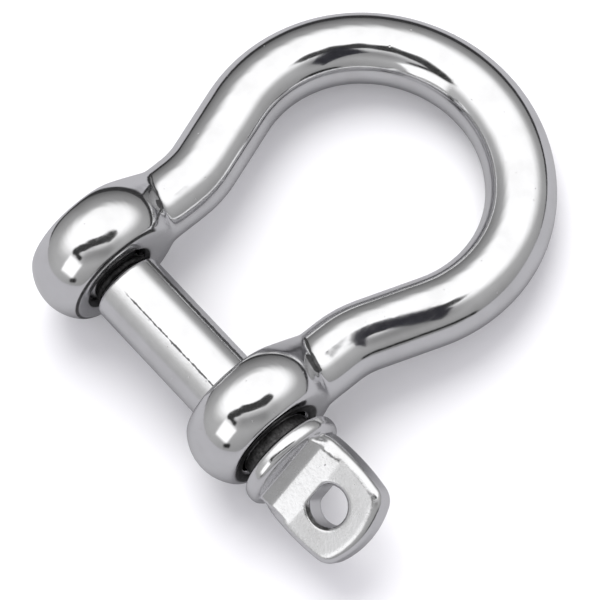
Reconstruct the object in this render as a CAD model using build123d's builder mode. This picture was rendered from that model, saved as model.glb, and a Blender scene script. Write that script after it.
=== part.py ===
from build123d import *
from math import asin, cos, radians, sin, sqrt
import os

# A bow shackle of polished stainless steel, in millimetres.
# The origin is on the pin's axis, midway between the ears. +X runs along the pin towards its eye,
# +Y towards the crown of the bow, and +Z up. The shackle lies on its two ears and its crown.

# The bow: one forging of round rod, with an ear at each end
rod_d = 9.7
jaw_width = 22.2
inside_width = 31.9           # at the widest part of the bow
leg_length = 3.25             # straight rod between the neck of the ear and the shoulder
shoulder_radius = 13.7        # this and the two radii of the crown are those of the rod's centreline
shoulder_angle = 19.4         # how far the rod leans out above the ears
crown_side_radius = 19.2
crown_join_angle = 45.0       # where the side arc meets the flatter arc of the crown

# The ears: thick discs about the pin's axis, with a rounded rim and a flat face on each side
ear_d = 19.8
ear_offset = 0.55             # how far the round of the ear is set from the pin's axis, towards the bow
ear_thickness = 9.5
ear_rim_radius = 6.8
ear_edge_radius = 1.0
neck_radius = 5.4             # hollow between the rod and the ear's rim
neck_crease = 0.2             # how far the hollow stops short of running smoothly into the rim
neck_pinch = 0.05             # how much the neck's sides draw in below the flats of the ear
neck_sweep = 54.0             # angle of the hollow that is followed before it is lost in the ear
neck_sections = 7

# The holes in the ears, and the pin's tip and shank
shank_d = 10.3
shank_clearance = 0.3         # on the radius, in the plain ear
hole_chamfer = 0.4
thread_d = 9.0                # pitch diameter of the thread on the pin's tip
thread_clearance = 0.08       # on the radius, in the threaded ear
thread_mouth_clearance = 0.35  # on the radius, where the countersunk mouth takes the shank's end
tip_chamfer = 0.8
shank_chamfer = 0.5
relief_depth = 0.3            # groove where the thread runs out at the shank
relief_length = 1.4
shank_overlap = 0.75          # how far the shank enters the threaded ear when the pin is home
pin_backed_out = 1.8          # gap that the half-unscrewed pin leaves between its collar and the ear

# The pin's collar, and the flat eye beyond it
collar_d = 14.8
collar_thickness = 2.5
collar_edge_radius = 1.0
eye_tilt = 32.6               # turn of the eye about the pin's axis, its upper face leaning to -Y
eye_thickness = 4.2
eye_length = 13.9
eye_root_width = 12.2
eye_tip_width = 12.6
eye_side_radius = 34.0
eye_end_radius = 12.5
eye_corner_radius = 2.8
eye_root_radius = 4.2
eye_edge_radius = 1.2
eye_seat = 2.0                # how far the eye's outline is sunk into the collar
eye_hole_d = 5.5
eye_hole_from_end = 6.6
eye_countersink = 0.5
stem_width = 11.4             # short stem between the collar and the eye
stem_thickness = 3.2
stem_edge_radius = 1.4
stem_length = 5.0

os.makedirs("parts", exist_ok=True)

# Places along the pin's axis
rod_radius = rod_d / 2
ear_radius = ear_d / 2
shank_radius = shank_d / 2
thread_radius = thread_d / 2
jaw_face = jaw_width / 2
ear_middle = jaw_face + ear_thickness / 2
ear_outer = jaw_face + ear_thickness
collar_back = ear_outer + pin_backed_out
collar_front = collar_back + collar_thickness
shank_end = -jaw_face - shank_overlap + pin_backed_out
pin_tip = -ear_outer + pin_backed_out

# The hollow of the neck leaves the rod here and ends inside the ear
neck_height = rod_radius + neck_radius
neck_run = sqrt((ear_radius + neck_radius) ** 2 - neck_height**2) - neck_crease
neck_top = ear_offset + neck_run

# The centreline of the rod, in the plane of the bow: x across the bow, y from the pin to the crown
leg_top = neck_top + leg_length
lean_sin = sin(radians(shoulder_angle))
lean_cos = cos(radians(shoulder_angle))
side_centre_x = inside_width / 2 + rod_radius - crown_side_radius
lean_start_x = ear_middle + shoulder_radius * (1 - lean_cos)
lean_start_y = leg_top + shoulder_radius * lean_sin
lean_end_x = side_centre_x + crown_side_radius * lean_cos
lean_end_y = lean_start_y + (lean_end_x - lean_start_x) * lean_cos / lean_sin
side_centre_y = lean_end_y + crown_side_radius * lean_sin
crown_top_radius = crown_side_radius + side_centre_x / cos(radians(crown_join_angle))
crown_centre_y = side_centre_y - (crown_top_radius - crown_side_radius) * sin(radians(crown_join_angle))
crown_top = crown_centre_y + crown_top_radius

# The bow lies tilted, so that its crown comes down on the surface that the ears rest on
bow_tilt = asin((ear_radius - rod_radius) / (crown_top - ear_offset))
bow_plane = Plane(origin=(0, 0, 0), x_dir=(1, 0, 0), z_dir=(0, sin(bow_tilt), cos(bow_tilt)))
ear_plane = Plane(origin=bow_plane.from_local_coords((0, ear_offset, 0)), x_dir=(1, 0, 0), z_dir=(0, 0, 1))


def across_leg(distance):
    """Return the plane across the right leg, this far along the bow from the pin's axis."""
    return Plane(
        origin=bow_plane.from_local_coords((ear_middle, distance, 0)),
        x_dir=(1, 0, 0),
        z_dir=bow_plane.y_dir,
    )


with BuildPart() as bow:
    # Half of the rod: a straight leg, the bend of the shoulder, the lean outwards, two arcs of crown
    with BuildLine(bow_plane):
        Line((ear_middle, neck_top), (ear_middle, leg_top))
        CenterArc((ear_middle + shoulder_radius, leg_top), shoulder_radius, 180, -shoulder_angle)
        Line((lean_start_x, lean_start_y), (lean_end_x, lean_end_y))
        CenterArc(
            (side_centre_x, side_centre_y),
            crown_side_radius,
            -shoulder_angle,
            shoulder_angle + crown_join_angle,
        )
        CenterArc((0, crown_centre_y), crown_top_radius, crown_join_angle, 90 - crown_join_angle)
    with BuildSketch(across_leg(neck_top)):
        Circle(rod_radius)
    sweep()

    # The neck grows taller and slightly narrower as it runs into the ear
    for section in range(neck_sections + 1):
        share = section / neck_sections
        turn = radians(neck_sweep) * share
        with BuildSketch(across_leg(neck_top - neck_radius * sin(turn))):
            Ellipse(rod_radius - neck_pinch * share, neck_height - neck_radius * cos(turn))
    loft()

    # The ear is a disc, set a little towards the bow from the pin's axis
    with BuildSketch(ear_plane) as ear_profile:
        with BuildLine():
            rim = CenterArc((ear_middle, ear_radius - ear_rim_radius), ear_rim_radius, 0, 180)
            Polyline(rim @ 1, (ear_middle - ear_rim_radius, 0), (ear_middle + ear_rim_radius, 0), rim @ 0)
        make_face()
        with Locations((ear_middle, 0)):
            Rectangle(ear_thickness, 2 * ear_d, mode=Mode.INTERSECT)
        fillet(ear_profile.vertices().filter_by(lambda corner: corner.Y > rod_radius), ear_edge_radius)
    revolve(axis=Axis(ear_plane.origin, ear_plane.x_dir))
    mirror(about=Plane.YZ)

    # A plain clearance hole goes through the ear by the collar, eased at both ends
    hole_radius = shank_radius + shank_clearance
    with BuildSketch(Plane.XY):
        with BuildLine():
            Polyline(
                (jaw_face, 0),
                (jaw_face, hole_radius + hole_chamfer),
                (jaw_face + hole_chamfer, hole_radius),
                (ear_outer - hole_chamfer, hole_radius),
                (ear_outer, hole_radius + hole_chamfer),
                (ear_outer, 0),
                close=True,
            )
        make_face()
    revolve(axis=Axis.X, mode=Mode.SUBTRACT)

    # The threaded hole goes through the other ear, countersunk to take the end of the shank
    bore_radius = thread_radius + thread_clearance
    mouth_radius = shank_radius + thread_mouth_clearance
    mouth_depth = mouth_radius - bore_radius
    with BuildSketch(Plane.XY):
        with BuildLine():
            Polyline(
                (-jaw_face, 0),
                (-jaw_face, mouth_radius),
                (-jaw_face - mouth_depth, bore_radius),
                (-ear_outer + hole_chamfer, bore_radius),
                (-ear_outer, bore_radius + hole_chamfer),
                (-ear_outer, 0),
                close=True,
            )
        make_face()
    revolve(axis=Axis.X, mode=Mode.SUBTRACT)
bow.part.label = "bow"

# The eye lies in its own plane through the pin's axis
eye_plane = Plane(
    origin=(0, 0, 0),
    x_dir=(1, 0, 0),
    z_dir=(0, -sin(radians(eye_tilt)), cos(radians(eye_tilt))),
)
eye_start = collar_front - eye_seat
eye_end = collar_front + eye_length
eye_corner_x = eye_end - eye_end_radius + sqrt(eye_end_radius**2 - (eye_tip_width / 2) ** 2)
eye_hole_x = eye_end - eye_hole_from_end

with BuildPart() as eye_plate:
    # The sides bulge a little, the end is a shallow arc, and all four corners are rounded
    with BuildSketch(eye_plane) as eye_outline:
        with BuildLine():
            upper = RadiusArc(
                (eye_start, eye_root_width / 2), (eye_corner_x, eye_tip_width / 2), eye_side_radius
            )
            tip = RadiusArc(upper @ 1, (eye_corner_x, -eye_tip_width / 2), eye_end_radius)
            lower = RadiusArc(tip @ 1, (eye_start, -eye_root_width / 2), eye_side_radius)
            Line(lower @ 1, upper @ 0)
        make_face()
        fillet(eye_outline.vertices().group_by(Axis.X)[-1], eye_corner_radius)
        fillet(eye_outline.vertices().group_by(Axis.X)[0], eye_root_radius)
    extrude(amount=eye_thickness / 2, both=True)
    fillet(eye_plate.faces().filter_by(eye_plane).edges(), eye_edge_radius)

with BuildPart() as screw_pin:
    # The tip, shank and collar are turned in one piece
    with BuildSketch(Plane.XY) as turned:
        with BuildLine():
            Polyline(
                (pin_tip, 0),
                (pin_tip, thread_radius),
                (shank_end - relief_length, thread_radius),
                (shank_end - relief_length, thread_radius - relief_depth),
                (shank_end, thread_radius - relief_depth),
                (shank_end, shank_radius),
                (collar_back, shank_radius),
                (collar_back, collar_d / 2),
                (collar_front, collar_d / 2),
                (collar_front, 0),
                close=True,
            )
        make_face()
        chamfer(turned.vertices().sort_by_distance((pin_tip, thread_radius))[0], tip_chamfer)
        chamfer(turned.vertices().sort_by_distance((shank_end, shank_radius))[0], shank_chamfer)
        fillet(turned.vertices().group_by(Axis.Y)[-1], collar_edge_radius)
    revolve(axis=Axis.X)

    # A short stem joins the eye to the collar
    with BuildSketch(Plane(origin=(collar_front, 0, 0), x_dir=eye_plane.y_dir, z_dir=(1, 0, 0))):
        RectangleRounded(stem_width, stem_thickness, stem_edge_radius)
    extrude(amount=stem_length)
    add(eye_plate.part)

    # The hole in the eye is countersunk on both sides
    eye_hole_radius = eye_hole_d / 2
    mouth_start = eye_thickness / 2 - eye_countersink
    with BuildSketch(Plane(origin=(eye_hole_x, 0, 0), x_dir=(1, 0, 0), z_dir=-eye_plane.y_dir)):
        with BuildLine():
            Polyline(
                (0, -eye_thickness / 2),
                (eye_hole_radius + eye_countersink, -eye_thickness / 2),
                (eye_hole_radius, -mouth_start),
                (eye_hole_radius, mouth_start),
                (eye_hole_radius + eye_countersink, eye_thickness / 2),
                (0, eye_thickness / 2),
                close=True,
            )
        make_face()
    revolve(axis=Axis((eye_hole_x, 0, 0), eye_plane.z_dir), mode=Mode.SUBTRACT)
screw_pin.part.label = "screw_pin"

export_step(bow.part, "parts/bow.step")
export_step(screw_pin.part, "parts/screw_pin.step")
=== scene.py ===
from math import ceil, cos, pi, radians, sin

import bpy
from mathutils import Matrix, Vector


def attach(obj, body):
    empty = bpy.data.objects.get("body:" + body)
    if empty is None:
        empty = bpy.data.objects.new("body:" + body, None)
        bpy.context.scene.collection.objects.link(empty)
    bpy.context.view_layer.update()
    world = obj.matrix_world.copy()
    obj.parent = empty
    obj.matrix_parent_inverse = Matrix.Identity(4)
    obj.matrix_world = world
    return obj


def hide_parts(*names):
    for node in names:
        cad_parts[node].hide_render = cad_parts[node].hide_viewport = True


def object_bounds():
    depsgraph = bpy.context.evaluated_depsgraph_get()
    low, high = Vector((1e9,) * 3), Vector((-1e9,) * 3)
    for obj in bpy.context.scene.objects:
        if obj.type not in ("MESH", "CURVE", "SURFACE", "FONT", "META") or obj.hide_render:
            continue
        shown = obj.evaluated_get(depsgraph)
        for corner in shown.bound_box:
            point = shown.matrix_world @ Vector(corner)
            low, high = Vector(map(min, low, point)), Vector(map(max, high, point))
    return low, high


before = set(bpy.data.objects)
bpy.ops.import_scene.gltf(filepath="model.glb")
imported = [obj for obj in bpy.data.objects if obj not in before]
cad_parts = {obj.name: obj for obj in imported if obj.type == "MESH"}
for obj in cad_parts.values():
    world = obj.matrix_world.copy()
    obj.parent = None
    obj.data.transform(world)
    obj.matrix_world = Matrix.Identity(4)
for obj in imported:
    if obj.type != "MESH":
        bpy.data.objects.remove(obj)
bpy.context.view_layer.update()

mm = 0.001


# The bow: one forging of stainless round bar, its two ears upset and drilled. After trimming it is
# tumbled and buffed to a mirror, which rounds the creases of the necks and leaves faint ripples,
# small pits and hairline scratches.
BOW_GRAIN = 0.3 * mm
BOW_TUMBLING = 10
BOW_RIPPLE = 0.010 * mm
BOW_DULLNESS = 0.09
WELD = 0.002 * mm

EAR_MIDDLE = 15.85 * mm
EAR_SET = 1.4 * mm
EAR_RADII = (9.85 * mm, 9.85 * mm, 7.95 * mm)
EAR_WIDTH = 9.4 * mm
JAW_FLAT = 11.1 * mm
OUTER_FLAT = 20.6 * mm
FLAT_RADIUS = 7.3 * mm
HOLE_RADIUS = 5.5 * mm

NECK_MIDDLE = Vector((0.0, 10.8, -1.0)) * mm
NECK_RADII = (5.03 * mm, 4.88 * mm, 0.1 * mm)
NECK_TURN = radians(-18)
NECK_BORE = 7.2 * mm
NECK_SIDES = 128
TRIMMER_RADIUS = 12 * mm

# Painted dark lines: a line of painted shade in the jaw, and strokes of painted dark reflection in plan,
# each with its start, end and half width in mm
JAW_LINE = (11.2 * mm, 11.36 * mm)
JAW_LINE_OUT = (7.3 * mm, 9.0 * mm)
JAW_LINE_END = 7.2 * mm
STROKES = (
    ((-18.6, 12.2), (-17.0, 11.3), 0.13),
    ((-17.0, 11.3), (-14.6, 10.4), 0.15),
    ((-14.4, 10.1), (-13.8, 9.8), 0.40),
    ((-13.5, 9.8), (-12.2, 8.0), 0.10),
    ((-12.2, 8.0), (-11.4, 6.6), 0.10),
    ((12.9, 12.0), (15.4, 11.0), 0.16),
    ((15.4, 11.0), (17.9, 10.4), 0.20),
    ((15.9, 10.3), (17.8, 9.8), 0.42),
)
STROKE_WANDER = 0.5 * mm
STROKE_SOFTNESS = 0.06
STROKE_SHADE = 0.9

ROD_SIDES = 96
THREAD_PITCH = 1.5 * mm
THREAD_STEPS = 64
THREAD_SHARP = radians(25)
TAP_START = -20.9 * mm
TAP_END = -12.05 * mm
TAP_BORE = 4.6 * mm
TAP_RADIUS = 5.15 * mm
TAP_HALF_BASE = 0.72 * mm
SLEEVE_START = -20.3 * mm
SLEEVE_WALL = 0.3 * mm

STEEL = (0.80, 0.80, 0.81)
STEEL_DULL = (0.68, 0.675, 0.675)
# Colour of the painted shade and painted dark reflections in the steel
PAINTED_SHADE_COLOUR = (0.035, 0.034, 0.034)
SKIN_DEPTH = 0.02 * mm
PIT_DEPTH = 0.02 * mm
HAZE_DEPTH = 0.0008 * mm
WAVES_PER_METRE = 150.0
CLOUDS_PER_METRE = 260.0
HAZE_PER_METRE = 900.0
GRIT_PER_METRE = 2400.0
HAIRLINES_PER_METRE = 2600.0
HAIRLINE_STRETCH = (1.0, 0.12, 1.0)
LARGE_PITS = (420.0, 0.10, 0.07)
SMALL_PITS = (900.0, 0.16, 0.12)


class Wire:
    """An output socket of a node tree, with arithmetic that adds Math nodes."""

    def __init__(self, finish, socket):
        self.finish = finish
        self.socket = socket

    def math(self, operation, *values):
        """A Math node of this operation, on this wire where no values are given."""
        return self.finish.add("Math", {"operation": operation}, dict(enumerate(values or (self,))))

    def __add__(self, other):
        return self.math("ADD", self, other)

    def __radd__(self, other):
        return self.math("ADD", other, self)

    def __sub__(self, other):
        return self.math("SUBTRACT", self, other)

    def __rsub__(self, other):
        return self.math("SUBTRACT", other, self)

    def __mul__(self, other):
        return self.math("MULTIPLY", self, other)

    def __rmul__(self, other):
        return self.math("MULTIPLY", other, self)

    def __truediv__(self, other):
        return self.math("DIVIDE", self, other)

    def __rtruediv__(self, other):
        return self.math("DIVIDE", other, self)

    def least(self, other):
        return self.math("MINIMUM", self, other)

    def most(self, other):
        return self.math("MAXIMUM", self, other)

    def ramp(self, low, high):
        """0 at low and 1 at high, eased at both ends; low may be the larger of the two."""
        sockets = {"Value": self, "From Min": low, "From Max": high}
        return self.finish.add("MapRange", {"interpolation_type": "SMOOTHSTEP"}, sockets)


class Finish:
    """The node tree of a material or of the world, empty at first."""

    def __init__(self, owner):
        owner.use_nodes = True
        self.tree = owner.node_tree
        self.tree.nodes.clear()

    def add(self, kind, settings=None, sockets=None, output=0):
        """Add a shader node, set it up, feed its sockets with values or wires, and return an output."""
        node = self.tree.nodes.new("ShaderNode" + kind)
        for name, value in (settings or {}).items():
            setattr(node, name, value)
        for name, value in (sockets or {}).items():
            if isinstance(value, Wire):
                self.tree.links.new(value.socket, node.inputs[name])
            else:
                node.inputs[name].default_value = value
        return Wire(self, node.outputs[output])

    def also(self, wire, output):
        """Another output of the node that this wire comes from."""
        return Wire(self, wire.socket.node.outputs[output])

    def place(self):
        """Object coordinates, in metres."""
        return self.add("TexCoord", output="Object")

    def axes(self, vector):
        """The three coordinates of a vector."""
        first = self.add("SeparateXYZ", sockets={"Vector": vector})
        return [self.also(first, axis) for axis in ("X", "Y", "Z")]

    def noise(self, scale, vector, detail=2.0, roughness=0.5):
        sockets = {"Vector": vector, "Scale": scale, "Detail": detail, "Roughness": roughness}
        return self.add("TexNoise", sockets=sockets)

    def stretched(self, vector, scale):
        """The same coordinates times a scale on each axis: less than 1 draws a pattern out along it."""
        return self.add("Mapping", {"vector_type": "POINT"}, {"Vector": vector, "Scale": scale})

    def blend(self, share, first, second):
        """A colour between two, by a share from 0 to 1."""
        node = self.tree.nodes.new("ShaderNodeMix")
        node.data_type = "RGBA"
        for index, value in ((0, share), (6, first), (7, second)):
            if isinstance(value, Wire):
                self.tree.links.new(value.socket, node.inputs[index])
            elif index:
                node.inputs[index].default_value = (*value, 1.0)
            else:
                node.inputs[index].default_value = value
        return Wire(self, node.outputs[2])

    def bump(self, height, distance, strength=1.0, under=None):
        sockets = {"Height": height, "Distance": distance, "Strength": strength}
        if under:
            sockets["Normal"] = under
        return self.add("Bump", sockets=sockets)

    def out(self, shader, kind="OutputMaterial"):
        node = self.tree.nodes.new("ShaderNode" + kind)
        self.tree.links.new(shader.socket, node.inputs["Surface"])


def pits(finish, place, scale, share, size):
    """1 in the middle of small scattered pits: this share of the cells, each pit this wide."""
    cells = finish.add("TexVoronoi", {"feature": "F1"}, {"Vector": place, "Scale": scale})
    chosen = finish.axes(finish.also(cells, "Color"))[0].ramp(1.0 - share, 1.0 - share + 0.01)
    return cells.ramp(size, size * 0.4) * chosen


def between(value, low, high, softness):
    """1 where the value lies between two limits, falling off over this softness outside them."""
    return value.ramp(low - softness, low) * value.ramp(high + softness, high)


def off_run(x, y, start, end):
    """Distance in a plane from the straight run between two places."""
    run = Vector(end) - Vector(start)
    near_x = x - start[0]
    near_y = y - start[1]
    along = ((near_x * run.x + near_y * run.y) / run.length_squared).most(0.0).least(1.0)
    off_x = near_x - along * run.x
    off_y = near_y - along * run.y
    return (off_x * off_x + off_y * off_y).math("SQRT")


def polished_steel(name, ripple, dullness, skin):
    """Buffed stainless steel with ripples of this height. The skin says where it is left unpolished, and
    where shade and dark reflections are painted into its colour: for each place (satin share, painted
    shade share), both from 0 to 1."""
    material = bpy.data.materials.new(name)
    finish = Finish(material)
    place = finish.place()
    satin, painted_shade_and_reflections = skin(finish, *finish.axes(place))
    clouds = finish.noise(CLOUDS_PER_METRE, place, detail=3.0)
    haze = finish.noise(HAZE_PER_METRE, place, detail=4.0, roughness=0.6)
    grit = finish.noise(GRIT_PER_METRE, place, detail=3.0, roughness=0.65)
    hairlines = finish.noise(HAIRLINES_PER_METRE, finish.stretched(place, HAIRLINE_STRETCH))
    scratches = hairlines.ramp(0.62, 0.72) * clouds.ramp(0.45, 0.7)
    pitted = pits(finish, place, *LARGE_PITS).most(pits(finish, place, *SMALL_PITS) * 0.7)
    dull = clouds.ramp(0.35, 0.8) * 0.5 + pitted * 0.5
    colour = finish.blend(dull, STEEL, STEEL_DULL)
    # Painted shade and painted dark reflections: the skin's share darkens the colour here
    colour = finish.blend(painted_shade_and_reflections * (0.75 + grit * 0.35), colour, PAINTED_SHADE_COLOUR)
    rough = dullness + haze.ramp(0.4, 0.8) * 0.05 + scratches * 0.06 + pitted * 0.3
    rough = rough + satin * (0.05 + grit * 0.12) + painted_shade_and_reflections * 0.25
    normal = finish.bump(finish.noise(WAVES_PER_METRE, place, detail=1.0), ripple)
    normal = finish.bump(haze, HAZE_DEPTH, under=normal)
    normal = finish.bump(grit, SKIN_DEPTH, satin.most(painted_shade_and_reflections), under=normal)
    normal = finish.bump(1.0 - pitted, PIT_DEPTH, under=normal)
    finish.out(finish.add(
        "BsdfPrincipled",
        sockets={"Base Color": colour, "Metallic": 1.0, "Roughness": rough, "Normal": normal},
    ))
    return material


def worked_copy(node, name, grain, tumbling, hollow, additions):
    """Copy a CAD node, weld it, cut out the hollow for a thread, turn it and what is added to it into
    even small faces, and smooth its creases as tumbling does."""
    bpy.ops.object.select_all(action="DESELECT")
    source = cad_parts[node]
    piece = source.copy()
    piece.data = source.data.copy()
    piece.name = piece.data.name = name
    for key in list(piece.keys()):
        del piece[key]
    piece.parent = None
    bpy.context.collection.objects.link(piece)
    piece.select_set(True)
    bpy.context.view_layer.objects.active = piece
    bpy.ops.mesh.customdata_custom_splitnormals_clear()
    bpy.ops.object.mode_set(mode="EDIT")
    bpy.ops.mesh.select_all(action="SELECT")
    bpy.ops.mesh.remove_doubles(threshold=WELD)
    bpy.ops.object.mode_set(mode="OBJECT")
    cut(piece, hollow)
    for addition in additions:
        joined(piece, addition)
    remesh = piece.modifiers.new("even faces", "REMESH")
    remesh.mode = "VOXEL"
    remesh.voxel_size = grain
    smooth = piece.modifiers.new("tumbling", "SMOOTH")
    smooth.factor = 0.5
    smooth.iterations = tumbling
    for modifier in (remesh.name, smooth.name):
        bpy.ops.object.modifier_apply(modifier=modifier)
    bpy.ops.object.shade_smooth()
    return piece


def cut(piece, tool):
    """Take the tool's shape out of the piece, and remove the tool."""
    bpy.ops.object.select_all(action="DESELECT")
    piece.select_set(True)
    bpy.context.view_layer.objects.active = piece
    difference = piece.modifiers.new("cut", "BOOLEAN")
    difference.operation = "DIFFERENCE"
    difference.object = tool
    bpy.ops.object.modifier_apply(modifier=difference.name)
    bpy.data.objects.remove(tool)


def rod(name, start, end, radius, chamfer=0.0):
    """A round rod along X, chamfered at both ends if asked."""
    bpy.ops.object.select_all(action="DESELECT")
    bpy.ops.mesh.primitive_cylinder_add(
        vertices=ROD_SIDES, radius=radius, depth=end - start,
        location=((start + end) / 2, 0, 0), rotation=(0, pi / 2, 0),
    )
    piece = bpy.context.object
    piece.name = name
    bpy.ops.object.transform_apply(location=True, rotation=True)
    if chamfer:
        bpy.ops.object.mode_set(mode="EDIT")
        bpy.ops.mesh.select_all(action="DESELECT")
        bpy.ops.mesh.edges_select_sharp(sharpness=radians(60))
        bpy.ops.mesh.bevel(offset=chamfer)
        bpy.ops.object.mode_set(mode="OBJECT")
    return piece


def thread_ridge(start, end, edge_radius, base_radius, half_base):
    """A helical ridge about X with a V section: its edge at one radius, its wide base at another.
    The section is a circle of three vertices, which is 1.5 radii high and 2 cos 30 radii wide."""
    bpy.ops.object.select_all(action="DESELECT")
    bpy.ops.mesh.primitive_circle_add(vertices=3, radius=1.0, location=(0, 0, 0))
    ridge = bpy.context.object
    height = edge_radius - base_radius
    ridge.scale = (half_base / cos(radians(30)), height / 1.5, 1.0)
    ridge.location = (start, base_radius + height / 3, 0.0)
    bpy.ops.object.transform_apply(location=True, scale=True)
    screw = ridge.modifiers.new("thread", "SCREW")
    screw.axis = "X"
    screw.angle = 2 * pi
    screw.screw_offset = THREAD_PITCH
    screw.iterations = ceil((end - start) / THREAD_PITCH)
    screw.steps = THREAD_STEPS
    bpy.ops.object.modifier_apply(modifier=screw.name)
    bpy.ops.object.mode_set(mode="EDIT")
    bpy.ops.mesh.select_all(action="SELECT")
    bpy.ops.mesh.fill_holes(sides=3)
    bpy.ops.mesh.normals_make_consistent(inside=False)
    bpy.ops.object.mode_set(mode="OBJECT")
    return ridge


def joined(piece, addition):
    """Join a part that was shaped separately into the piece."""
    bpy.ops.object.select_all(action="DESELECT")
    addition.select_set(True)
    piece.select_set(True)
    bpy.context.view_layer.objects.active = piece
    bpy.ops.object.join()


def hulled(piece, other):
    """Join two solids and stretch a skin tightly over both."""
    joined(piece, other)
    bpy.ops.object.mode_set(mode="EDIT")
    bpy.ops.mesh.select_all(action="SELECT")
    bpy.ops.mesh.convex_hull()
    bpy.ops.object.mode_set(mode="OBJECT")


def bow_skin(finish, x, y, z):
    """The flats of the ears and their holes are left satin. Painted shade darkens the holes and the outer
    flats where the pin sits, a painted shade line runs along the ears' edges in the jaw, and painted dark
    reflections lie in strokes beside the necks."""
    out = (y * y + z * z).math("SQRT")
    side = x.math("ABSOLUTE")
    on_flat = out.ramp(FLAT_RADIUS, FLAT_RADIUS - 0.4 * mm)
    at_jaw = side.ramp(JAW_FLAT + 0.3 * mm, JAW_FLAT + 0.1 * mm)
    at_outside = side.ramp(OUTER_FLAT - 0.3 * mm, OUTER_FLAT - 0.1 * mm)
    by_collar = x.ramp(OUTER_FLAT - 0.3 * mm, OUTER_FLAT - 0.1 * mm)
    in_hole = out.ramp(HOLE_RADIUS, HOLE_RADIUS - 0.2 * mm)
    # Painted shade in the ears' holes and on the outer flat beside the pin's collar
    painted_shade_and_reflections = in_hole.most(on_flat * by_collar)
    # A painted shade line in the crease along the ears' edges in the jaw
    jaw_line = between(side, *JAW_LINE, 0.06 * mm) * between(out, *JAW_LINE_OUT, 0.3 * mm)
    jaw_line = jaw_line * y.ramp(JAW_LINE_END, JAW_LINE_END - 0.6 * mm)
    speckle = finish.noise(HAZE_PER_METRE, finish.place(), detail=4.0, roughness=0.7)
    above = z.ramp(0.0, 0.8 * mm)
    # Painted dark reflections, in strokes over the necks' creases
    for start, end, half_width in STROKES:
        off = off_run(x, y, Vector(start) * mm, Vector(end) * mm) + (speckle - 0.5) * STROKE_WANDER
        stroke = off.ramp((half_width + STROKE_SOFTNESS) * mm, (half_width - STROKE_SOFTNESS) * mm)
        painted_shade_and_reflections = painted_shade_and_reflections.most(stroke * above * STROKE_SHADE)
    return on_flat * at_jaw.most(at_outside), painted_shade_and_reflections.most(jaw_line)


def neck(middle):
    """The hammered neck of an ear: from the ear's dome it runs straight to a crease across the rod."""
    bpy.ops.object.select_all(action="DESELECT")
    bpy.ops.mesh.primitive_uv_sphere_add(
        segments=NECK_SIDES, ring_count=NECK_SIDES // 2, radius=1.0, location=(middle, EAR_SET, 0),
        rotation=(0, pi / 2, 0), scale=EAR_RADII,
    )
    dome = bpy.context.object
    bpy.ops.object.transform_apply(location=True, rotation=True, scale=True)
    for side in (1, -1):
        flat = middle + side * EAR_WIDTH / 2
        beyond = flat + side * EAR_WIDTH
        cut(dome, rod("trimmer", min(flat, beyond), max(flat, beyond), TRIMMER_RADIUS))
    bpy.ops.object.select_all(action="DESELECT")
    bpy.ops.mesh.primitive_cylinder_add(
        vertices=NECK_SIDES, radius=1.0, depth=1.0, location=NECK_MIDDLE + Vector((middle, 0, 0)),
        rotation=(pi / 2, 0, NECK_TURN), scale=NECK_RADII,
    )
    crease = bpy.context.object
    bpy.ops.object.transform_apply(location=True, rotation=True, scale=True)
    hulled(dome, crease)
    cut(dome, rod("bore", middle - EAR_WIDTH, middle + EAR_WIDTH, NECK_BORE))
    return dome


bow = worked_copy(
    "bow", "forged_bow", BOW_GRAIN, BOW_TUMBLING,
    rod("hollow", TAP_START, TAP_END, TAP_RADIUS + 0.1 * mm), (neck(-EAR_MIDDLE), neck(EAR_MIDDLE)),
)
sleeve = rod("tapped_hole", SLEEVE_START, TAP_END, TAP_RADIUS + SLEEVE_WALL)
cut(sleeve, rod("bore", TAP_START - 1.0 * mm, TAP_END + 1.0 * mm, TAP_BORE))
cut(sleeve, thread_ridge(
    TAP_START - THREAD_PITCH, TAP_END + THREAD_PITCH, TAP_RADIUS, TAP_BORE - 0.2 * mm, TAP_HALF_BASE,
))
sleeve.select_set(True)
bpy.ops.object.shade_smooth_by_angle(angle=THREAD_SHARP)
joined(bow, sleeve)
bow.data.materials.clear()
bow.data.materials.append(polished_steel("buffed steel", BOW_RIPPLE, BOW_DULLNESS, bow_skin))
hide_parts("bow")
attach(bow, "bow")


# The screw pin: turned from stainless bar and threaded at its tip, with its flat eye forged on the
# end and pierced. The shank and the collar are polished; the eye's faces keep a fine pebbled skin,
# and step up a little towards the collar.
PIN_GRAIN = 0.2 * mm
PIN_TUMBLING = 6
PIN_RIPPLE = 0.004 * mm
PIN_DULLNESS = 0.13

TIP_START = -18.8 * mm
TIP_END = -11.45 * mm
TIP_CREST = 4.55 * mm
TIP_ROOT = 3.85 * mm
TIP_CHAMFER = 0.5 * mm
TIP_HALF_BASE = 0.7 * mm
TIP_LEAD = 1.2 * mm
TIP_OVERLAP = 1.0 * mm
HOLLOW_RADIUS = 6.0 * mm
RELIEF = (-11.5 * mm, -10.05 * mm)
RELIEF_RADIUS = 4.7 * mm

COLLAR_GAP = (20.4 * mm, 22.7 * mm)
COLLAR_GAP_RADIUS = 7.2 * mm
EYE_START = 24.95 * mm
EYE_TILT = radians(32.6)
EYE_FACE = 2.1 * mm
EYE_HOLE = 32.2 * mm
EYE_HOLE_RADIUS = 2.75 * mm
CRESCENT_WIDTH = 0.4 * mm

# The land: its wedges' starts and heights, and its widths at the face and at the foot
LANDS = ((29.7 * mm, 1.0 * mm), (27.4 * mm, 1.9 * mm))
LAND_END = 24.7 * mm
LAND_END_WIDTHS = (10.4 * mm, 12.0 * mm)
LAND_START_WIDTHS = (11.3 * mm, 13.2 * mm)
LAND_FOOT = 1.2 * mm
LAND_SINK = 0.02 * mm
SLAB_HALF_THICKNESS = 0.05 * mm

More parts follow.
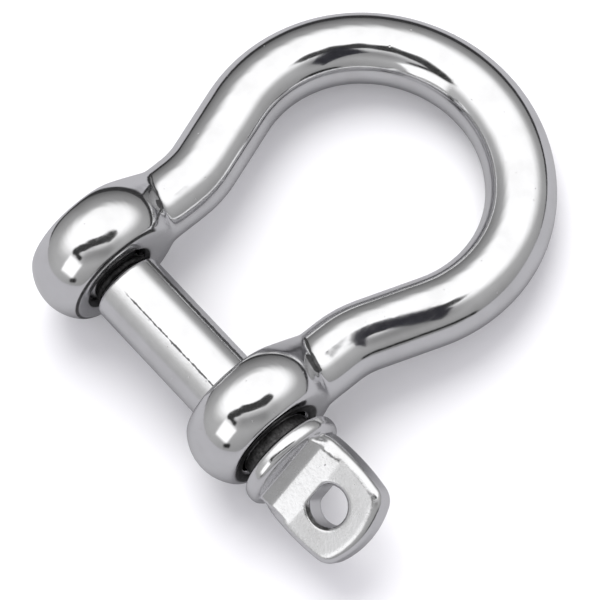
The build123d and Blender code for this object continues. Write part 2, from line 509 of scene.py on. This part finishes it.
# The shank's painted dark reflection lines: one along its top, and one at the edge of its turned side, both
# along the pin
SHANK_SKIN = 5.4 * mm
SHANK_END = 11.0 * mm
REFLECTION_LINE_TURN = radians(20)
REFLECTION_LINE_HALF_WIDTH = 0.1 * mm
REFLECTION_LINE_SOFTNESS = 0.04 * mm
REFLECTION_LINE_START = -8.0 * mm
EDGE_LINE = 4.75 * mm
EDGE_HALF_WIDTH = 0.12 * mm
RAGGED_PER_METRE = 1400.0
RAGGED_BY = 0.6 * mm


def pin_skin(finish, x, y, z):
    """The faces of the eye, the thread and one side of the shank are satin. Painted shade darkens the gap
    beside the collar, the thread's relief and the thread; two painted dark reflection lines run along the
    shank, and a painted shade crescent sits at the eye's hole."""
    out = (y * y + z * z).math("SQRT")
    height = (z * cos(EYE_TILT) - y * sin(EYE_TILT)).math("ABSOLUTE")
    face = height.ramp(EYE_FACE - 0.25 * mm, EYE_FACE - 0.1 * mm) * x.ramp(EYE_START, EYE_START + 0.2 * mm)
    tip = x.ramp(TIP_END + 0.15 * mm, TIP_END - 0.05 * mm)
    # Painted shade in the gap beside the collar, in the thread's relief and on the thread
    by_collar = between(x, *COLLAR_GAP, 0.2 * mm)
    by_collar = by_collar * out.ramp(COLLAR_GAP_RADIUS, COLLAR_GAP_RADIUS - 0.5 * mm)
    relief = between(x, *RELIEF, 0.1 * mm) * out.ramp(RELIEF_RADIUS, RELIEF_RADIUS - 0.2 * mm)

    speckle = finish.noise(RAGGED_PER_METRE, finish.place(), detail=4.0, roughness=0.7)
    ragged = (speckle - 0.5) * RAGGED_BY
    aside = y * cos(REFLECTION_LINE_TURN) + z * sin(REFLECTION_LINE_TURN)
    on_shank = out.ramp(SHANK_SKIN, SHANK_SKIN - 0.2 * mm) * x.ramp(SHANK_END, SHANK_END - 0.5 * mm)
    on_shank = on_shank * z.ramp(0.0, 0.5 * mm)
    # Two painted dark reflection lines along the shank
    reflection_line = (aside.math("ABSOLUTE") + ragged).ramp(
        REFLECTION_LINE_HALF_WIDTH + REFLECTION_LINE_SOFTNESS, REFLECTION_LINE_HALF_WIDTH - REFLECTION_LINE_SOFTNESS)
    edge = ((aside - EDGE_LINE).math("ABSOLUTE") + ragged * 0.4).ramp(
        EDGE_HALF_WIDTH + REFLECTION_LINE_SOFTNESS, EDGE_HALF_WIDTH - REFLECTION_LINE_SOFTNESS)
    lines = (reflection_line * x.ramp(REFLECTION_LINE_START, REFLECTION_LINE_START + 2.0 * mm)).most(edge) * on_shank * 0.9
    turned = (aside + ragged).ramp(0.1 * mm, -0.3 * mm) * on_shank * 0.7

    # A painted shade crescent at one side of the eye's hole
    across = y * cos(EYE_TILT) + z * sin(EYE_TILT)
    along = x - EYE_HOLE
    from_hole = (across * across + along * along).math("SQRT")
    crescent = between(from_hole, EYE_HOLE_RADIUS, EYE_HOLE_RADIUS + CRESCENT_WIDTH, 0.1 * mm)
    crescent = crescent * across.ramp(-1.7 * mm, -2.3 * mm)
    crescent = crescent * height.ramp(EYE_FACE - 0.6 * mm, EYE_FACE - 0.4 * mm)
    satin = face.most(tip).most(turned)
    return satin, by_collar.most(relief).most(tip * 0.45).most(lines).most(crescent)


def slab(x, half_width, half_height):
    """A thin slab across the eye."""
    bpy.ops.object.select_all(action="DESELECT")
    bpy.ops.mesh.primitive_cube_add(
        size=2.0, location=(x, 0, 0), rotation=(EYE_TILT, 0, 0),
        scale=(SLAB_HALF_THICKNESS, half_width, half_height),
    )
    bpy.ops.object.transform_apply(location=True, rotation=True, scale=True)
    return bpy.context.object


def land(start, height):
    """A wedge that thickens the eye on both faces, from nothing at the start to this much at the collar."""
    wedge = slab(LAND_END, LAND_END_WIDTHS[0] / 2, EYE_FACE + height)
    hulled(wedge, slab(LAND_END, LAND_END_WIDTHS[1] / 2, LAND_FOOT))
    hulled(wedge, slab(start, LAND_START_WIDTHS[0] / 2, EYE_FACE - LAND_SINK))
    hulled(wedge, slab(start, LAND_START_WIDTHS[1] / 2, LAND_FOOT))
    return wedge


pin = worked_copy(
    "screw_pin", "forged_pin", PIN_GRAIN, PIN_TUMBLING,
    rod("hollow", TIP_START - 1.0 * mm, TIP_END + 0.2 * mm, HOLLOW_RADIUS),
    [land(start, height) for start, height in LANDS],
)
tip = rod("threaded_tip", TIP_START, TIP_END + TIP_OVERLAP, TIP_ROOT, TIP_CHAMFER)
joined(tip, thread_ridge(
    TIP_START + TIP_LEAD, TIP_END - 0.3 * mm, TIP_CREST, TIP_ROOT - 0.1 * mm, TIP_HALF_BASE,
))
bpy.ops.object.shade_smooth_by_angle(angle=THREAD_SHARP)
joined(pin, tip)
pin.data.materials.clear()
pin.data.materials.append(polished_steel("turned steel", PIN_RIPPLE, PIN_DULLNESS, pin_skin))
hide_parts("screw_pin")
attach(pin, "screw_pin")


# The floor: a white paper sheet under the shackle. Seen straight it is white with the shackle's
# soft shadow; in the polished steel it is painted darker, and past a near edge behind the bow it shows a
# painted dark reflection of a table that is nowhere else in the scene.
FLOOR_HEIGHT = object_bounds()[0].z
FLOOR_SIZE = 6.0
PAPER = (0.90, 0.90, 0.905)
PAINTED_PAPER_IN_STEEL = (0.41, 0.41, 0.413)
PAINTED_TABLE_IN_STEEL = (0.03, 0.03, 0.03)
PAPER_LIFT = 0.06
TABLE_EDGE = 0.066
TABLE_EDGE_SOFTNESS = 0.012
TABLE_TURN = radians(130)

bpy.ops.object.select_all(action="DESELECT")
bpy.ops.mesh.primitive_plane_add(size=FLOOR_SIZE, location=(0, 0, FLOOR_HEIGHT))
floor = bpy.context.object
floor.name = "paper_floor"
bpy.ops.object.transform_apply(location=True)
paper = bpy.data.materials.new("white paper")
finish = Finish(paper)
x, y, z = finish.axes(finish.place())
by_camera = finish.add("LightPath", output="Is Camera Ray")
by_glossy = finish.also(by_camera, "Is Glossy Ray")
by_transmission = finish.also(by_camera, "Is Transmission Ray")
# Painted reflection: glossy rays see the paper darker, and past this edge a dark table that the camera
# never sees
beyond = (x * cos(TABLE_TURN) + y * sin(TABLE_TURN)).ramp(TABLE_EDGE, TABLE_EDGE + TABLE_EDGE_SOFTNESS)
colour = finish.blend(by_glossy, PAPER, finish.blend(beyond, PAINTED_PAPER_IN_STEEL, PAINTED_TABLE_IN_STEEL))
sheet = finish.add("BsdfDiffuse", sockets={"Color": colour})
lift = finish.add(
    "Emission",
    sockets={"Color": (1.0, 1.0, 1.0, 1.0), "Strength": (by_camera + by_transmission) * PAPER_LIFT},
)
finish.out(finish.add("AddShader", sockets={0: sheet, 1: lift}))
floor.data.materials.append(paper)


# The light tent: a dome of white cloth, seen only in the steel. A lamp behind the cloth makes a
# broad soft patch on one side of its top; a window, the slot that the camera looks through and the
# dark gap under the hem are the other things that the steel picks up.
TENT_RADIUS = 0.5
TENT_MIDDLE = (0.0, 0.020, FLOOR_HEIGHT)

# Places on the tent are in degrees from its top, towards +X and +Y. A strip has its start, end, half
# width and softness, and the window its middle, half size and softness. The lamp's core and halo fade
# between two shares of the patch's size.
LAMP_PATCH_MIDDLE = (-9.0, 9.0)
LAMP_PATCH_TURN = radians(64)
LAMP_PATCH_LENGTH = 70.0
LAMP_PATCH_WIDTH = 47.0
LAMP_CORE = (1.05, 0.62)
LAMP_CORE_LEVEL = 0.74
LAMP_HALO = (2.5, 0.4)
LAMP_HALO_LEVEL = 0.46
CLOTH_LEVEL = 0.13
CLOTH_SLOPE = (0.0012, -0.0013)
WINDOW = ((8.0, -61.0), (18.0, 14.0), 2.5)
WINDOW_LEVEL = 1.35
SLOT = ((-5.0, -38.0), (23.5, 11.0), 7.5, 1.5)
FOOT = ((-6.0, -40.0), (13.0, -42.0), 3.5, 1.5)
CORNER = ((25.0, -78.0), (33.0, -74.0), 4.0, 2.0)
GAP = ((78.0, -27.0), (84.0, 12.0), 3.5, 2.0)
DARK_DEPTH = 0.96
SHADE = ((22.0, -28.0), (44.0, -2.0), 12.0, 12.0)
SHADE_DEPTH = 0.45

bpy.ops.object.select_all(action="DESELECT")
bpy.ops.mesh.primitive_uv_sphere_add(segments=96, ring_count=48, radius=TENT_RADIUS, location=(0, 0, 0))
tent = bpy.context.object
tent.name = "light_tent"
bpy.ops.object.mode_set(mode="EDIT")
bpy.ops.mesh.select_all(action="SELECT")
bpy.ops.mesh.flip_normals()
bpy.ops.object.mode_set(mode="OBJECT")
bpy.ops.object.shade_smooth()
tent.location = TENT_MIDDLE

cloth = bpy.data.materials.new("tent cloth")
finish = Finish(cloth)
x, y, z = finish.axes(finish.place())
from_top = (z / TENT_RADIUS).math("ARCCOSINE") * (180 / pi)
level_radius = (x * x + y * y).math("SQRT")
map_x = x / level_radius * from_top
map_y = y / level_radius * from_top


def strip(start, end, half_width, softness):
    """1 on a round-ended strip of the tent between two places."""
    return off_run(map_x, map_y, start, end).ramp(half_width + softness, half_width - softness)


def panel(middle, half_size, softness):
    """1 on a square-cornered panel of the tent."""
    inside = [
        (position - centre).math("ABSOLUTE").ramp(half + softness, half - softness)
        for position, centre, half in zip((map_x, map_y), middle, half_size)
    ]
    return inside[0] * inside[1]


lamp_x = map_x - LAMP_PATCH_MIDDLE[0]
lamp_y = map_y - LAMP_PATCH_MIDDLE[1]
lamp_long = (lamp_x * cos(LAMP_PATCH_TURN) + lamp_y * sin(LAMP_PATCH_TURN)) / LAMP_PATCH_LENGTH
lamp_wide = (lamp_y * cos(LAMP_PATCH_TURN) - lamp_x * sin(LAMP_PATCH_TURN)) / LAMP_PATCH_WIDTH
from_lamp = (lamp_long * lamp_long + lamp_wide * lamp_wide).math("SQRT")
lamp = from_lamp.ramp(*LAMP_CORE) * LAMP_CORE_LEVEL + from_lamp.ramp(*LAMP_HALO) * LAMP_HALO_LEVEL
fade = map_x * CLOTH_SLOPE[0] + map_y * CLOTH_SLOPE[1] + CLOTH_LEVEL
window = panel(*WINDOW)
dark = strip(*SLOT).most(strip(*FOOT)).most(strip(*CORNER)).most(strip(*GAP))
glow = (lamp + fade) * (1.0 - strip(*SHADE) * SHADE_DEPTH) * (1.0 - window) + window * WINDOW_LEVEL
glow = glow * (1.0 - dark * DARK_DEPTH)
finish.out(finish.add("Emission", sockets={"Color": (1.0, 1.0, 1.0, 1.0), "Strength": glow}))
tent.data.materials.append(cloth)


# The dark board: a sheet of black card that leans over the crown and makes the black mark there. It
# has one side only, so that the ears, behind it, don't pick it up.
BOARD_LEAN = radians(64)
BOARD_SIZE = (70 * mm, 46 * mm)
BOARD_MIDDLE = Vector((47, 35.5, 62)) * mm
BLACK_CARD = (0.03, 0.03, 0.035, 1.0)

bpy.ops.object.select_all(action="DESELECT")
bpy.ops.mesh.primitive_plane_add(size=1.0)
board = bpy.context.object
board.name = "dark_board"
board.scale = (*BOARD_SIZE, 1.0)
board.rotation_euler = (BOARD_LEAN, 0, 0)
board.location = BOARD_MIDDLE
card = bpy.data.materials.new("black card")
finish = Finish(card)
is_back = finish.add("NewGeometry", output="Backfacing")
dark_side = finish.add("BsdfDiffuse", sockets={"Color": BLACK_CARD})
no_side = finish.add("BsdfTransparent")
finish.out(finish.add("MixShader", sockets={0: 1.0 - is_back, 1: dark_side, 2: no_side}))
board.data.materials.append(card)

for prop in (tent, board):
    prop.visible_camera = False
    prop.visible_diffuse = False
    prop.visible_shadow = False
    prop.visible_transmission = False


# The light: an even white room, and one large soft lamp up on the left of the photograph.
ROOM = (0.955, 0.94, 1.0)
ROOM_SEEN = (1.0, 1.0, 1.0)
ROOM_LEVEL = 0.87
LAMP_PLACE = Vector((-0.50, 0.28, 0.90))
LAMP_SIZE = 0.95
LAMP_POWER = 9.0

world = bpy.data.worlds.new("white room")
bpy.context.scene.world = world
finish = Finish(world)
by_camera = finish.add("LightPath", output="Is Camera Ray")
by_glossy = finish.also(by_camera, "Is Glossy Ray")
by_transmission = finish.also(by_camera, "Is Transmission Ray")
seen = (by_camera + by_glossy + by_transmission).least(1.0)
room_level = ROOM_LEVEL + seen * (1.0 - ROOM_LEVEL)
colour = finish.blend(seen, ROOM, ROOM_SEEN)
finish.out(finish.add("Background", sockets={"Color": colour, "Strength": room_level}), "OutputWorld")

bpy.ops.object.light_add(type="AREA", location=LAMP_PLACE)
soft_lamp = bpy.context.object
soft_lamp.name = "soft_lamp"
soft_lamp.rotation_euler = (-LAMP_PLACE).to_track_quat("-Z", "Y").to_euler()
soft_lamp.data.shape = "DISK"
soft_lamp.data.size = LAMP_SIZE
soft_lamp.data.energy = LAMP_POWER
soft_lamp.visible_glossy = False


# The camera: a long lens, looking steeply down from beyond the pin's eye.
CAMERA_TURN = radians(57.492)
CAMERA_HEIGHT = radians(68.368)
CAMERA_ROLL = radians(-9.267)
CAMERA_DISTANCE = 0.776
CAMERA_AIM = Vector((7.408, 15.683, 0.0)) * mm
FOCAL_PIXELS = 5839.458
PICTURE_PIXELS = 600
SENSOR = 36.0

lens = bpy.data.cameras.new("camera")
lens.sensor_width = SENSOR
lens.lens = FOCAL_PIXELS * SENSOR / PICTURE_PIXELS
camera = bpy.data.objects.new("camera", lens)
bpy.context.collection.objects.link(camera)
away = Vector((
    sin(CAMERA_TURN) * cos(CAMERA_HEIGHT), -cos(CAMERA_TURN) * cos(CAMERA_HEIGHT), sin(CAMERA_HEIGHT),
))
level_right = Vector((cos(CAMERA_TURN), sin(CAMERA_TURN), 0.0))
level_up = away.cross(level_right)
right = level_right * cos(CAMERA_ROLL) + level_up * sin(CAMERA_ROLL)
up = level_up * cos(CAMERA_ROLL) - level_right * sin(CAMERA_ROLL)
place = CAMERA_AIM + away * CAMERA_DISTANCE
camera.matrix_world = Matrix((
    (right.x, up.x, away.x, place.x),
    (right.y, up.y, away.y, place.y),
    (right.z, up.z, away.z, place.z),
    (0.0, 0.0, 0.0, 1.0),
))
bpy.context.scene.camera = camera
bpy.context.scene.view_settings.view_transform = "Standard"
